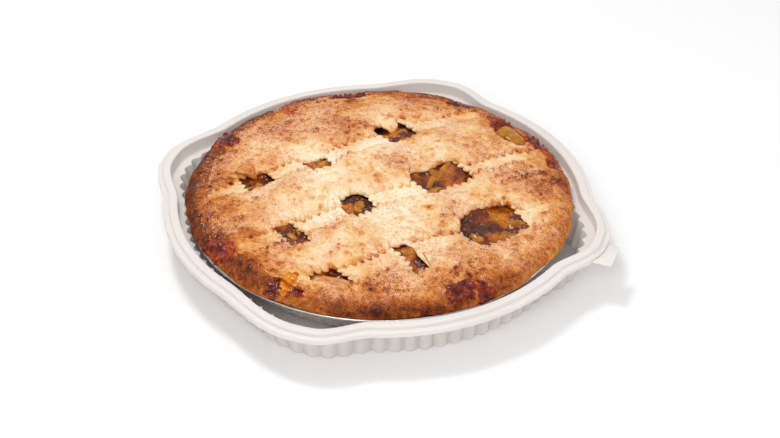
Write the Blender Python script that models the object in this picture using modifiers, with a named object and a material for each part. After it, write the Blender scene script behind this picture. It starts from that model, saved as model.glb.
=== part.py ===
"""A lattice apple pie in its foil tin, standing in a fluted plastic tray.

Metres, +Z up. The origin is the centre of the tray's flat underside, and +X is the side
with the pull tab. Directions on the pie's top are given in its lattice frame: "along" is
the run of the upper strips, "across" is square to it.
"""

import math

import bmesh
import bpy
from mathutils import Vector

# Tray: a rounded square of four shallow lobes, as the mean radius of the rim's inner edge
# and the waves that make the lobes.
TRAY_RADIUS = 0.120
LOBE_TURN = math.radians(-18.2)
LOBE_WAVES = ((4, 0.0382), (8, 0.0203), (12, 0.0076))
LOBE_LOWEST = 0.9745
TRAY_HEIGHT = 0.0275
TRAY_WALL = 0.0008
TRAY_FLOOR = 0.0009
LEDGE_HEIGHT = 0.0200
BEAD_SHOULDER = 0.0263
BEAD_CROWN_OUT = 0.0026
BEAD_OUT = 0.0056
BEAD_FOOT = 0.0254
FLANGE_OUT = 0.0079
SKIRT_OUT = 0.0083
SKIRT_FOOT = 0.0220

# The tray's fluted well, below the ledge.
FLUTES = 80
FLUTE_DEPTH = 0.0025
WELL_FACTOR = 0.945
WELL_LOBE_SHARE = 0.83
WELL_DRAFT = 0.0030

# Pull tab on the skirt of one lobe.
TAB_TURN = math.radians(-22.2)
TAB_WIDTH = 0.0190
TAB_INNER = 0.1300
TAB_OUTER = 0.1434
TAB_THICK = 0.0008

# Foil tin.
FOIL = 0.0005
TIN_BASE = 0.0012
TIN_BASE_RADIUS = 0.0930
TIN_WALL_RADIUS = 0.1084
TIN_WALL_TOP = 0.0204
BEAD_RADIUS = 0.00105
BEAD_CENTRE = (0.1099, 0.0216)

# Pastry shell with its thick rolled edge.
CRUST_BASE = 0.00205
CRUST_BASE_RADIUS = 0.0924
CRUST_LIP = ((0.1076, 0.0213), (0.1082, 0.0230), (0.1110, 0.0230))
EDGE_CENTRE = (0.1035, 0.0255)
EDGE_RADII = (0.0093, 0.0083)
EDGE_STEPS = 6
WALL_INSIDE_RADIUS = 0.1012
WALL_INSIDE_FOOT = 0.0245
FLOOR_INSIDE = (0.0905, 0.0053)

# The pie's domed top, and the layers below it.
DOME_CENTRE = 0.0390
DOME_DROP = 0.0050
DOME_POWER = 2.5
TOP_RADIUS = 0.1008
STRIP = 0.0030
LAYER_STEP = 0.0046
FILLING_STEP = 0.0090
GAP = 0.0004
TURN_STEPS = 48

# Lattice: the upper strips run at this turn from +X, the lower ones square to it. Each
# strip is given as its low and high side, measured square to its run.
LATTICE_TURN = math.radians(30)
UPPER_STRIPS = ((0.045, 0.089), (-0.009, 0.032), (-0.060, -0.023), (-0.097, -0.073))
LOWER_STRIPS = ((-0.097, -0.072), (-0.058, -0.0275), (-0.0155, 0.025), (0.043, 0.086))
SHORT_STRIP = 1
SHORT_STRIP_END = 0.087
STRIP_REACH = 0.104
STRIP_ROWS = (-1.0, -0.62, 0.62, 1.0)
EDGE_DROP = 0.0007
SAG = 0.0016
SAG_MARGIN = 0.0020

# An apple slice laid bare where one strip ends short of the crust's edge.
SLICE_PLACE = (0.0786, 0.0537, 0.0307)
SLICE_RADII = (0.0112, 0.0048, 0.0037)
SLICE_TURN = math.radians(-55.6)


def clear_scene():
    for thing in list(bpy.data.objects):
        bpy.data.objects.remove(thing, do_unlink=True)


def collection(name):
    group = bpy.data.collections.new(name)
    bpy.context.scene.collection.children.link(group)
    return group


def material(name, colour, roughness, metallic=0.0):
    finish = bpy.data.materials.new(name)
    finish.use_nodes = True
    shader = finish.node_tree.nodes["Principled BSDF"]
    shader.inputs["Base Color"].default_value = (*colour, 1.0)
    shader.inputs["Roughness"].default_value = roughness
    shader.inputs["Metallic"].default_value = metallic
    return finish


def add_object(name, mesh, group, finish=None):
    thing = bpy.data.objects.new(name, mesh)
    if finish is not None:
        mesh.materials.append(finish)
    group.objects.link(thing)
    return thing


def mesh_from(name, work):
    mesh = bpy.data.meshes.new(name)
    work.to_mesh(mesh)
    work.free()
    return mesh


def lobe(angle):
    """The tray's outline at an angle, as a share of its mean radius."""
    turned = angle - LOBE_TURN
    return 1.0 + sum(size * math.cos(count * turned) for count, size in LOBE_WAVES)


def rim_ring(outward, height):
    """Points of a ring a given way outside the rim's inner edge."""
    points = []
    for index in range(2 * FLUTES):
        angle = math.pi * index / FLUTES
        radius = TRAY_RADIUS * lobe(angle) + outward
        points.append((radius * math.cos(angle), radius * math.sin(angle), height))
    return points


def well_ring(outward, height):
    """Points of a zigzag ring of flutes, in at every second point."""
    points = []
    for index in range(2 * FLUTES):
        angle = math.pi * index / FLUTES
        share = WELL_FACTOR + WELL_LOBE_SHARE * (lobe(angle) - LOBE_LOWEST)
        radius = TRAY_RADIUS * share + outward - FLUTE_DEPTH * (index % 2)
        points.append((radius * math.cos(angle), radius * math.sin(angle), height))
    return points


def tray_rings():
    """The tray's section, from the floor up the inside, over the rim and down outside."""
    under_ledge = LEDGE_HEIGHT - TRAY_WALL
    return (
        well_ring(-WELL_DRAFT, TRAY_FLOOR),
        well_ring(0.0, LEDGE_HEIGHT),
        rim_ring(0.0, LEDGE_HEIGHT),
        rim_ring(0.0, BEAD_SHOULDER),
        rim_ring(BEAD_CROWN_OUT, TRAY_HEIGHT),
        rim_ring(BEAD_OUT, BEAD_FOOT),
        rim_ring(FLANGE_OUT, BEAD_FOOT - TRAY_WALL / 2),
        rim_ring(SKIRT_OUT, SKIRT_FOOT),
        rim_ring(SKIRT_OUT - TRAY_WALL, SKIRT_FOOT),
        rim_ring(FLANGE_OUT - TRAY_WALL, BEAD_FOOT - 2 * TRAY_WALL),
        rim_ring(TRAY_WALL, BEAD_FOOT - TRAY_WALL),
        rim_ring(TRAY_WALL, under_ledge),
        well_ring(TRAY_WALL, under_ledge),
        well_ring(TRAY_WALL - WELL_DRAFT, 0.0),
    )


def loft(rings):
    """A closed body through rings of equal count, with a flat cap at each end."""
    work = bmesh.new()
    loops = [[work.verts.new(point) for point in ring] for ring in rings]
    for lower, upper in zip(loops, loops[1:]):
        for index in range(len(lower)):
            following = (index + 1) % len(lower)
            work.faces.new((lower[index], lower[following], upper[following], upper[index]))
    work.faces.new(loops[0])
    work.faces.new(loops[-1])
    bmesh.ops.recalc_face_normals(work, faces=work.faces)
    return work


def tab_cutter(group):
    """A thin plate that is joined to the skirt as the pull tab."""
    work = bmesh.new()
    bmesh.ops.create_cube(work, size=1.0)
    length = TAB_OUTER - TAB_INNER
    bmesh.ops.scale(work, vec=Vector((length, TAB_WIDTH, TAB_THICK)), verts=work.verts)
    plate = add_object("tab_plate", mesh_from("tab_plate", work), group)
    middle = (TAB_OUTER + TAB_INNER) / 2
    height = SKIRT_FOOT + 1.5 * TAB_THICK
    plate.location = (middle * math.cos(TAB_TURN), middle * math.sin(TAB_TURN), height)
    plate.rotation_euler = (0.0, 0.0, TAB_TURN)
    hide(plate)
    return plate


def hide(thing):
    thing.hide_render = True
    thing.display_type = "WIRE"


def build_tray(parts, cutters, finish):
    tray = add_object("tray", mesh_from("tray", loft(tray_rings())), parts, finish)
    join = tray.modifiers.new("pull_tab", "BOOLEAN")
    join.operation = "UNION"
    join.solver = "EXACT"
    join.object = tab_cutter(cutters)
    return tray


def turned(name, profile, parts, finish):
    """A profile in the XZ plane turned about Z."""
    mesh = bpy.data.meshes.new(name)
    edges = [(index, index + 1) for index in range(len(profile) - 1)]
    mesh.from_pydata([(radius, 0.0, height) for radius, height in profile], edges, [])
    thing = add_object(name, mesh, parts, finish)
    screw = thing.modifiers.new("turn", "SCREW")
    screw.steps = TURN_STEPS
    screw.render_steps = TURN_STEPS
    screw.use_merge_vertices = True
    screw.merge_threshold = 0.0001
    return thing


def tin_profile():
    """Up the inside of the tin, round its rolled bead and down the outside."""
    points = [(0.0, TIN_BASE + FOIL), (TIN_BASE_RADIUS - FOIL, TIN_BASE + FOIL)]
    points.append((TIN_WALL_RADIUS - FOIL, TIN_WALL_TOP + FOIL))
    for degrees in (160, 110, 60, 10, -40, -90, -130):
        turn = math.radians(degrees)
        radius = BEAD_CENTRE[0] + BEAD_RADIUS * math.cos(turn)
        points.append((radius, BEAD_CENTRE[1] + BEAD_RADIUS * math.sin(turn)))
    points.append((TIN_WALL_RADIUS, TIN_WALL_TOP))
    points.extend([(TIN_BASE_RADIUS, TIN_BASE), (0.0, TIN_BASE)])
    return points


def crust_profile():
    """Up the inside of the pastry shell, over its rolled edge and down the outside."""
    points = [(0.0, FLOOR_INSIDE[1]), FLOOR_INSIDE]
    points.append((WALL_INSIDE_RADIUS, WALL_INSIDE_FOOT))
    points.append((WALL_INSIDE_RADIUS, dome(WALL_INSIDE_RADIUS) - GAP))
    for step in range(EDGE_STEPS + 1):
        turn = math.pi / 2 * (1.0 - step / EDGE_STEPS)
        radius = EDGE_CENTRE[0] + EDGE_RADII[0] * math.cos(turn)
        points.append((radius, EDGE_CENTRE[1] + EDGE_RADII[1] * math.sin(turn)))
    points.extend(reversed(CRUST_LIP))
    points.extend([(CRUST_BASE_RADIUS, CRUST_BASE), (0.0, CRUST_BASE)])
    return points


def dome(radius):
    """Height of the pie's top at a distance from its centre."""
    return DOME_CENTRE - DOME_DROP * (radius / WALL_INSIDE_RADIUS) ** DOME_POWER


def filling_profile():
    """The domed top of the filling, then down inside the pastry shell."""
    rings = 7
    points = []
    for step in range(rings + 1):
        radius = TOP_RADIUS * step / rings
        points.append((radius, dome(radius) - FILLING_STEP))
    points.append((TOP_RADIUS, WALL_INSIDE_FOOT + GAP / 2))
    floor = FLOOR_INSIDE[1] + GAP
    points.extend([(FLOOR_INSIDE[0] - GAP, floor), (0.0, floor)])
    return points


def gaps_between(bands):
    """The open stretches between neighbouring strips, low side first."""
    ordered = sorted(bands)
    return [(near[1], far[0]) for near, far in zip(ordered, ordered[1:])]


def stations(bands):
    """Places along a strip where its height is set: its ends, in and between crossings."""
    places = [-STRIP_REACH, STRIP_REACH]
    places.extend([(low + high) / 2 for low, high in bands])
    for low, high in gaps_between(bands):
        places.extend([low + SAG_MARGIN, (low + high) / 2, high - SAG_MARGIN])
    return sorted(places)


def sag_at(place, bands):
    """How far a strip hangs down, from 0 at the crossings to 1 between them."""
    for low, high in gaps_between(bands):
        low, high = low + SAG_MARGIN, high - SAG_MARGIN
        if low < place < high:
            return math.sin(math.pi * (place - low) / (high - low))
    return 0.0


def strip_sheet(side, turn, step, crossing, sag):
    """The top face of one strip, draped on the dome, as a grid of a few rows."""
    places = stations(crossing)
    work = bmesh.new()
    bmesh.ops.create_grid(
        work, x_segments=len(places) - 1, y_segments=len(STRIP_ROWS) - 1, size=1.0
    )
    low, high = side
    for vert in work.verts:
        column = round((vert.co.x + 1.0) / 2 * (len(places) - 1))
        row = round((vert.co.y + 1.0) / 2 * (len(STRIP_ROWS) - 1))
        along = places[column]
        share = STRIP_ROWS[row]
        across = (low + high) / 2 + share * (high - low) / 2
        drop = EDGE_DROP if abs(share) == 1.0 else 0.0
        height = dome(min(math.hypot(along, across), STRIP_REACH)) - step - drop
        vert.co.x = along * math.cos(turn) - across * math.sin(turn)
        vert.co.y = along * math.sin(turn) + across * math.cos(turn)
        vert.co.z = height - sag * sag_at(along, crossing)
    return work


def round_cutter(group):
    """The round that the strips are trimmed to."""
    work = bmesh.new()
    bmesh.ops.create_cone(
        work, cap_ends=True, segments=TURN_STEPS, radius1=TOP_RADIUS,
        radius2=TOP_RADIUS, depth=0.040,
    )
    cutter = add_object("trim_round", mesh_from("trim_round", work), group)
    cutter.location = (0.0, 0.0, DOME_CENTRE - 0.010)
    hide(cutter)
    return cutter


def end_cutter(group):
    """A block that shortens one upper strip at its far end."""
    work = bmesh.new()
    bmesh.ops.create_cube(work, size=0.080)
    cutter = add_object("trim_end", mesh_from("trim_end", work), group)
    reach = SHORT_STRIP_END + 0.040
    cutter.location = (reach * math.cos(LATTICE_TURN), reach * math.sin(LATTICE_TURN), DOME_CENTRE)
    cutter.rotation_euler = (0.0, 0.0, LATTICE_TURN)
    hide(cutter)
    return cutter


def trim(strip, cutter, operation):
    cut = strip.modifiers.new("trim", "BOOLEAN")
    cut.operation = operation
    cut.solver = "EXACT"
    cut.object = cutter


def build_strip(name, sheet, parts, finish, trim_round):
    strip = add_object(name, mesh_from(name, sheet), parts, finish)
    thicken = strip.modifiers.new("thickness", "SOLIDIFY")
    thicken.thickness = STRIP
    thicken.offset = -1.0
    trim(strip, trim_round, "INTERSECT")
    return strip


def build_lattice(parts, cutters, finish):
    """Four lower strips square to the run, and four upper strips laid over them."""
    trim_round = round_cutter(cutters)
    upper_turn = LATTICE_TURN
    lower_turn = LATTICE_TURN - math.pi / 2
    for index, side in enumerate(UPPER_STRIPS):
        sheet = strip_sheet(side, upper_turn, 0.0, LOWER_STRIPS, SAG)
        strip = build_strip(f"strip_a_{index + 1}", sheet, parts, finish, trim_round)
        if index == SHORT_STRIP:
            trim(strip, end_cutter(cutters), "DIFFERENCE")
    crossing = [(-high, -low) for low, high in UPPER_STRIPS]
    for index, side in enumerate(LOWER_STRIPS):
        sheet = strip_sheet(side, lower_turn, LAYER_STEP, crossing, 0.0)
        build_strip(f"strip_b_{index + 1}", sheet, parts, finish, trim_round)


def build_slice(parts, finish):
    """A rounded apple slice lying in the opening at the end of the short strip."""
    work = bmesh.new()
    bmesh.ops.create_uvsphere(work, u_segments=14, v_segments=8, radius=1.0)
    bmesh.ops.scale(work, vec=Vector(SLICE_RADII), verts=work.verts)
    piece = add_object("apple_slice", mesh_from("apple_slice", work), parts, finish)
    piece.location = SLICE_PLACE
    piece.rotation_euler = (0.0, 0.0, SLICE_TURN)
    return piece


def shade(parts):
    for thing in parts.objects:
        thing.data.shade_smooth()
        thing.data.set_sharp_from_angle(angle=math.radians(35))


def main():
    clear_scene()
    parts = collection("lattice_apple_pie")
    cutters = collection("cutters")
    plastic = material("white_plastic", (0.83, 0.79, 0.77), 0.42)
    foil = material("tin_foil", (0.80, 0.79, 0.77), 0.30, metallic=1.0)
    pastry = material("baked_pastry", (0.64, 0.36, 0.15), 0.65)
    lattice = material("lattice_pastry", (0.80, 0.55, 0.30), 0.60)
    apple = material("cooked_apple", (0.42, 0.16, 0.03), 0.25)
    bare_apple = material("bare_apple", (0.60, 0.33, 0.05), 0.30)
    build_tray(parts, cutters, plastic)
    turned("foil_tin", tin_profile(), parts, foil)
    turned("pie_crust", crust_profile(), parts, pastry)
    turned("apple_filling", filling_profile(), parts, apple)
    build_lattice(parts, cutters, lattice)
    build_slice(parts, bare_apple)
    shade(parts)


main()
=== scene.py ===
"""The finished look of a lattice apple pie in its foil tin and fluted plastic tray."""

import math
import random
from typing import NamedTuple

import bmesh
import bpy
import numpy as np
from mathutils import Matrix, Vector
from mathutils.bvhtree import BVHTree


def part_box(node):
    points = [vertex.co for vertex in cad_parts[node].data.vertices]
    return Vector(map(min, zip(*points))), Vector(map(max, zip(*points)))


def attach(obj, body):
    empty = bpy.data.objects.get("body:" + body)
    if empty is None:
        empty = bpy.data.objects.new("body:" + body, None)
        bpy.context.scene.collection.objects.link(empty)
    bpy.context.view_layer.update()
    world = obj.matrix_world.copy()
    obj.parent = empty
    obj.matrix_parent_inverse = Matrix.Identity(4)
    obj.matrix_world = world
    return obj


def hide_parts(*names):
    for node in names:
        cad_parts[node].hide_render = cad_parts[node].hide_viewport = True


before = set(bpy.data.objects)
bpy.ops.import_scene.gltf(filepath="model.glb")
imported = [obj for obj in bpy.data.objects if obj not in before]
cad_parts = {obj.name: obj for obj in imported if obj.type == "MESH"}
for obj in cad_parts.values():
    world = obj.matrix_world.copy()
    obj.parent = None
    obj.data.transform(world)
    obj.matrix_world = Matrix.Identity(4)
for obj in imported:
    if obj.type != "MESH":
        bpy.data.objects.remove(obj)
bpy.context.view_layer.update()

MM = 0.001
FULL_TURN = 2.0 * math.pi

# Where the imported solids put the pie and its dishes.
TRAY_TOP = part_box("tray")[1].z
TIN_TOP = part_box("foil_tin")[1].z
TIN_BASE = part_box("foil_tin")[0].z
TIN_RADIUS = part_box("foil_tin")[1].x
CRUST_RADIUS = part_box("pie_crust")[1].x
CRUST_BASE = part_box("pie_crust")[0].z
PIE_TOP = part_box("strip_a_2")[1].z

# The camera stands at the front and looks down on the pie through a long lens.
CAMERA_DISTANCE = 1.1645
CAMERA_ELEVATION = math.radians(35.1)
CAMERA_ROLL = math.radians(0.22)
CAMERA_LENS = 92.31
CAMERA_SHIFT = (0.01345, -0.03133)

# Tray plan: the rim's inner edge is a circle with four lobes, each given by the turn of its
# middle and how far it reaches clockwise and the other way, in degrees. The fluted well
# under it is smaller, by a factor of the tray's radius, and takes only a share of the lobes.
TRAY_RADIUS = 120 * MM
RIM_LOWEST = 0.9745
LOBE_RISE = 0.0916
LOBES = ((-18.2, 17.5, 21.0), (71.8, 17.0, 22.0), (161.8, 20.0, 21.0), (251.8, 27.0, 17.0))
LEDGE = 20 * MM
FLUTES = 80
FLUTE_DEPTH = 2.5 * MM
WELL_FACTOR = 0.945
WELL_LOBE_SHARE = 0.83

# The pie's dome and its lattice: how its strips lie, how far their edges are tucked in and
# under, and the teeth of the pinking wheel.
DOME_DROP = 5.0 * MM
DOME_REACH = 101.2 * MM
DOME_POWER = 2.5
LATTICE_TURN = math.radians(30)
STRIP_END = 105 * MM
LOWER_STEP = 2.3 * MM
STRIP_TUCK = (1.6 * MM, 1.35 * MM)
TOOTH_PITCH = 4.8 * MM
TOOTH_REACH = 1.8 * MM

# Openings in the lattice, each as its centre along and across the upper strips and its
# half sizes that way, in millimetres.
OPENINGS = (
    (-60.0, 39.5, 8.5, 7.0),
    (-20.5, 35.5, 8.0, 5.5),
    (36.0, 42.5, 11.5, 10.0),
    (-22.0, -14.0, 7.0, 9.0),
    (34.0, -12.5, 17.0, 13.0),
    (-66.5, -17.0, 6.5, 12.0),
    (-20.5, -70.0, 5.5, 12.5),
    (38.0, -64.5, 18.5, 14.5),
    (-69.0, -62.5, 8.5, 8.2),
)

# The bare apple slice: its long side's turn, its size and how far its middle is sunk, then
# the half sizes and the depth of the hollow round it.
SLICE_TURN = math.radians(-55.6)
SLICE_SIZE = Vector((22, 12, 9)) * MM
SLICE_SUNK = 3.4 * MM
HOLLOW_HALF = (13 * MM, 7 * MM)
HOLLOW_DEPTH = 3.4 * MM

# A strip's pinked edge, pressed up from below, shows as loops between these two places.
PINKED_LINE = ((70 * MM, -4 * MM), (95 * MM, 14 * MM))
LOOP_RADIUS = 1.7 * MM
LOOP_WIDTH = 0.7 * MM

# One large smooth blister: its place, its rise, and where it starts and stops falling.
BLISTER_PLACE = (-76 * MM, -53 * MM)
BLISTER_RISE = 1.5 * MM
BLISTER_FALL = (6 * MM, 11 * MM)

# The crust's rolled edge bends round this distance and height, this far above and below.
EDGE_MIDDLE = (100 * MM, 24.6 * MM)
EDGE_RISE = 9.0 * MM
EDGE_UNDER = 1.3 * MM

# The foil tin: its sheet and the width across its sloping wall, the wall's foot, spread and
# rise, the radius of its bead and its crimps.
FOIL = 0.35 * MM
FOIL_WALL = 0.5 * MM
TIN_FOOT = 92.4 * MM
TIN_SPREAD = 15.3 * MM
TIN_RISE = 18.9 * MM
TIN_BEAD = 1.05 * MM
CRIMPS = 118
CRIMP_DEPTH = 0.45 * MM

# The pull tab: where it starts and ends, its width and thickness, its drop and its turn.
TAB_START = 133.0 * MM
TAB_END = 143.4 * MM
TAB_WIDTH = 19.0 * MM
TAB_THICK = 0.8 * MM
TAB_DROP = 4.3 * MM
TAB_TURN = math.radians(-22.2)

# Coarse sugar crystals on the top: how many, and their sizes.
CRYSTALS = 9000
CRYSTAL_SIZES = (0.25 * MM, 0.55 * MM)

# Patches where the top baked darker or stayed paler, each as its place and reach, in
# millimetres, and a strength.
BROWNED = (
    (-52, -57, 12, 0.16), (-74, -52, 9, 0.14), (-98, 6, 12, 0.12), (-94, 30, 10, 0.10),
    (-72, -84, 14, 0.06), (0, -104, 20, 0.10), (60, -88, 12, 0.06), (30, -96, 14, 0.08),
    (30, 92, 20, 0.14), (-34, 84, 12, 0.08), (-34, 66, 22, 0.13), (78, 8, 14, 0.08),
    (108, 6, 16, 0.08), (40, 60, 18, 0.04), (4, 24, 8, 0.16), (12, 17, 7, 0.16),
    (-12, 52, 12, 0.12), (60, 46, 12, 0.10), (-88, -30, 10, 0.12), (96, -8, 10, 0.08),
    (-20, 40, 8, 0.14), (-64, 10, 12, 0.10), (20, 5, 9, 0.10), (36, -33, 12, 0.12),
    (-56, 52, 12, 0.12), (-60, 24, 9, 0.10),
)
PALE = (
    (-40, -91, 9, 0.20), (-28, -30, 18, 0.14), (-14, 0, 14, 0.10), (34, 34, 14, 0.10),
    (56, -8, 14, 0.12), (-6, 26, 14, 0.08), (18, -55, 14, 0.10), (-40, -62, 12, 0.10),
    (12, -40, 14, 0.08), (-46, -24, 12, 0.12), (-46, 30, 8, 0.12), (12, 66, 12, 0.08),
    (-34, 20, 12, 0.14), (-8, 38, 10, 0.12), (52, 62, 10, 0.08), (90, -20, 16, 0.08),
    (84, 34, 14, 0.06), (-30, 2, 12, 0.10), (-86, 52, 10, 0.10),
)

# Smooth places with little sugar, as above: the large blister, one beside the amber jam,
# round the slice and at the left of the edge.
BARE = ((-76, -53, 11, 1.0), (-40, -91, 10, 1.2), (80, 58, 10, 1.0), (-84, 12, 9, 0.9))

# Jam is laid on the edge from outside, towards a ring at this distance and height, over a
# bend of this radius.
JAM_CORE = (97 * MM, 23 * MM)
JAM_BEND = 13 * MM

# Jam that boiled over, each as the turn round the pie and the turn up from its side, in
# degrees, its half sizes round and over the edge and its thickness, in millimetres, and
# how dark it boiled down: 0 and below is amber, and 1 and above nearly black.
JAM_SPOTS = (
    (213, 46, 9.0, 8.5, 2.8, 0.75), (208, 6, 3.6, 9.0, 1.8, 0.80), (217, 58, 5.0, 6.0, 2.0, 0.40),
    (238, 34, 4.5, 6.5, 2.0, 0.90), (241, 56, 6.0, 8.0, 1.8, -0.15), (245, 42, 5.0, 3.5, 1.6, 0.90),
    (295, 46, 8.0, 6.5, 3.0, 0.95), (301, 24, 5.0, 6.5, 2.0, 0.95),
    (101, 70, 12.0, 4.0, 1.6, 0.95), (125, 76, 6.5, 11.0, 1.8, 0.30), (153, 50, 7.0, 10.5, 4.8, 0.95),
    (62, 60, 9.0, 4.0, 1.2, 1.10),
    (42, 70, 6.5, 9.0, 2.6, 0.70), (27, 50, 8.5, 6.5, 2.6, 0.90), (15, 34, 9.0, 4.0, 1.6, 0.70),
    (4, 54, 4.5, 4.0, 2.2, 0.85),
)


class Layer(NamedTuple):
    """How one layer of strips was laid and baked.

    Relief scales its bumps, camber swells its middle and fall lets its sides down. Tips lifts
    the tips of its teeth, mottle browns its bumps, and baking and sugar are added all over.
    """
    seed: int
    relief: float
    camber: float
    fall: float
    tips: float
    mottle: float
    baking: float
    sugar: float


# The upper strips rise, brown and hold sugar more than the lower ones.
UPPER = Layer(
    seed=100, relief=1.25, camber=1.4 * MM, fall=LOWER_STEP + 0.5 * MM, tips=1.0,
    mottle=1.0, baking=0.09, sugar=0.12,
)
LOWER = Layer(
    seed=300, relief=0.6, camber=0.4 * MM, fall=2.0 * MM, tips=0.4,
    mottle=0.4, baking=-0.03, sugar=-0.20,
)


# ---------------------------------------------------------------- small helpers

def hashed(cells, seed):
    """A repeatable number from -1 to 1 for each row of whole-number cells."""
    mixed = np.full(len(cells), seed * 7919 + 17, np.int64)
    for axis, prime in zip(range(cells.shape[1]), (73856093, 19349663, 83492791)):
        mixed = (mixed ^ (cells[:, axis] * prime)) * 1103515245 + 12345
        mixed ^= mixed >> 15
    mixed = (mixed ^ (mixed >> 13)) & 0xFFFF
    return mixed / 32767.5 - 1.0


def lumps(points, size, seed):
    """Smooth noise from -1 to 1 over points, with lumps of about the given size."""
    scaled = points / size
    base = np.floor(scaled).astype(np.int64)
    part = scaled - base
    part = part * part * (3.0 - 2.0 * part)
    total = np.zeros(len(points))
    axes = points.shape[1]
    for corner in range(2 ** axes):
        offset = np.array([(corner >> axis) & 1 for axis in range(axes)])
        weight = np.prod(np.where(offset == 1, part, 1.0 - part), axis=1)
        total += weight * hashed(base + offset, seed)
    return total


def layered(points, size, seed, layers=3):
    """Noise in layers, each half the size and strength of the one before."""
    total = np.zeros(len(points))
    for layer in range(layers):
        total += lumps(points, size / 2 ** layer, seed + layer) / 2 ** layer
    return total


def blisters(points, cell, seed, share):
    """Rounded bumps from 0 to 1 scattered over flat points, a share of the cells having one."""
    flat = points[:, :2] / cell
    base = np.floor(flat).astype(np.int64)
    height = np.zeros(len(points))
    for dx in (-1, 0, 1):
        for dy in (-1, 0, 1):
            near = base + np.array([dx, dy])
            shift = np.stack([hashed(near, seed), hashed(near, seed + 1)], axis=1)
            reach = 0.42 + 0.22 * hashed(near, seed + 2)
            there = hashed(near, seed + 3) < 2.0 * share - 1.0
            away = np.hypot(*(flat - near - 0.5 - 0.4 * shift).T) / reach
            bump = np.clip(1.0 - away ** 2, 0.0, 1.0) * there
            height = np.maximum(height, bump * (0.7 + 0.3 * shift[:, 0]))
    return height


def smooth_step(values, low, high):
    """0 up to low, 1 from high, and a smooth rise between them."""
    part = np.clip((values - low) / (high - low), 0.0, 1.0)
    return part * part * (3.0 - 2.0 * part)


def bump_at(values, centre, reach, flat=0.35, end=1.35):
    """1 near the centre and 0 far off, going by shares of the reach."""
    return 1.0 - smooth_step(np.abs(values - centre), flat * reach, end * reach)


def points_of(mesh):
    points = np.empty(len(mesh.vertices) * 3)
    mesh.vertices.foreach_get("co", points)
    return points.reshape(-1, 3)


def set_points(mesh, points):
    mesh.vertices.foreach_set("co", np.ascontiguousarray(points, float).ravel())
    mesh.update()


def paint(mesh, name, values):
    """Keeps a number for each point of a mesh, which its material reads by name."""
    layer = mesh.attributes.new(name, "FLOAT", "POINT")
    layer.data.foreach_set("value", np.ascontiguousarray(values, np.float32))


def mesh_of(name, work):
    mesh = bpy.data.meshes.new(name)
    work.to_mesh(mesh)
    work.free()
    return mesh


def add_piece(name, mesh, finish, nodes=()):
    """A finished piece of the pie, riding on its only body."""
    piece = bpy.data.objects.new(name, mesh)
    bpy.context.scene.collection.objects.link(piece)
    mesh.materials.append(finish)
    mesh.shade_smooth()
    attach(piece, "root")
    if nodes:
        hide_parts(*nodes)
    return piece


def grid_mesh(name, columns, rows):
    """A flat square sheet from -1 to 1 both ways."""
    work = bmesh.new()
    bmesh.ops.create_grid(work, x_segments=columns, y_segments=rows, size=1.0)
    return mesh_of(name, work)


def spun_mesh(name, profile, steps, doublings=5):
    """A profile of (radius, height) turned about Z: one sector is spun, then copied round."""
    work = bmesh.new()
    verts = [work.verts.new((radius, 0.0, height)) for radius, height in profile]
    edges = [work.edges.new(pair) for pair in zip(verts, verts[1:])]
    sector = FULL_TURN / 2 ** doublings
    bmesh.ops.spin(
        work, geom=verts + edges, cent=(0, 0, 0), axis=(0, 0, 1), angle=sector,
        steps=steps // 2 ** doublings,
    )
    for level in range(doublings):
        made = bmesh.ops.duplicate(work, geom=work.verts[:] + work.edges[:] + work.faces[:])
        copied = [item for item in made["geom"] if isinstance(item, bmesh.types.BMVert)]
        turn = Matrix.Rotation(sector * 2 ** level, 3, "Z")
        bmesh.ops.rotate(work, cent=(0, 0, 0), matrix=turn, verts=copied)
    bmesh.ops.remove_doubles(work, verts=work.verts, dist=0.01 * MM)
    bmesh.ops.recalc_face_normals(work, faces=work.faces)
    return mesh_of(name, work)


def close_under(mesh, move):
    """Closes a sheet below: its border goes down by a rule on points, and is filled."""
    work = bmesh.new()
    work.from_mesh(mesh)
    border = [edge for edge in work.edges if edge.is_boundary]
    made = bmesh.ops.extrude_edge_only(work, edges=border)["geom"]
    lower = [item for item in made if isinstance(item, bmesh.types.BMVert)]
    for vert in lower:
        vert.co = move(vert.co)
    rim = [item for item in made if isinstance(item, bmesh.types.BMEdge)]
    rim = [edge for edge in rim if edge.is_boundary]
    bmesh.ops.holes_fill(work, edges=rim, sides=0)
    bmesh.ops.recalc_face_normals(work, faces=work.faces)
    work.to_mesh(mesh)
    work.free()


# ---------------------------------------------------------------- material helpers

def linear(red, green, blue):
    """A colour given on the 0 to 255 scale of a screen, as light."""
    def channel(value):
        value /= 255.0
        return value / 12.92 if value <= 0.04045 else ((value + 0.055) / 1.055) ** 2.4
    return (channel(red), channel(green), channel(blue), 1.0)


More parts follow.
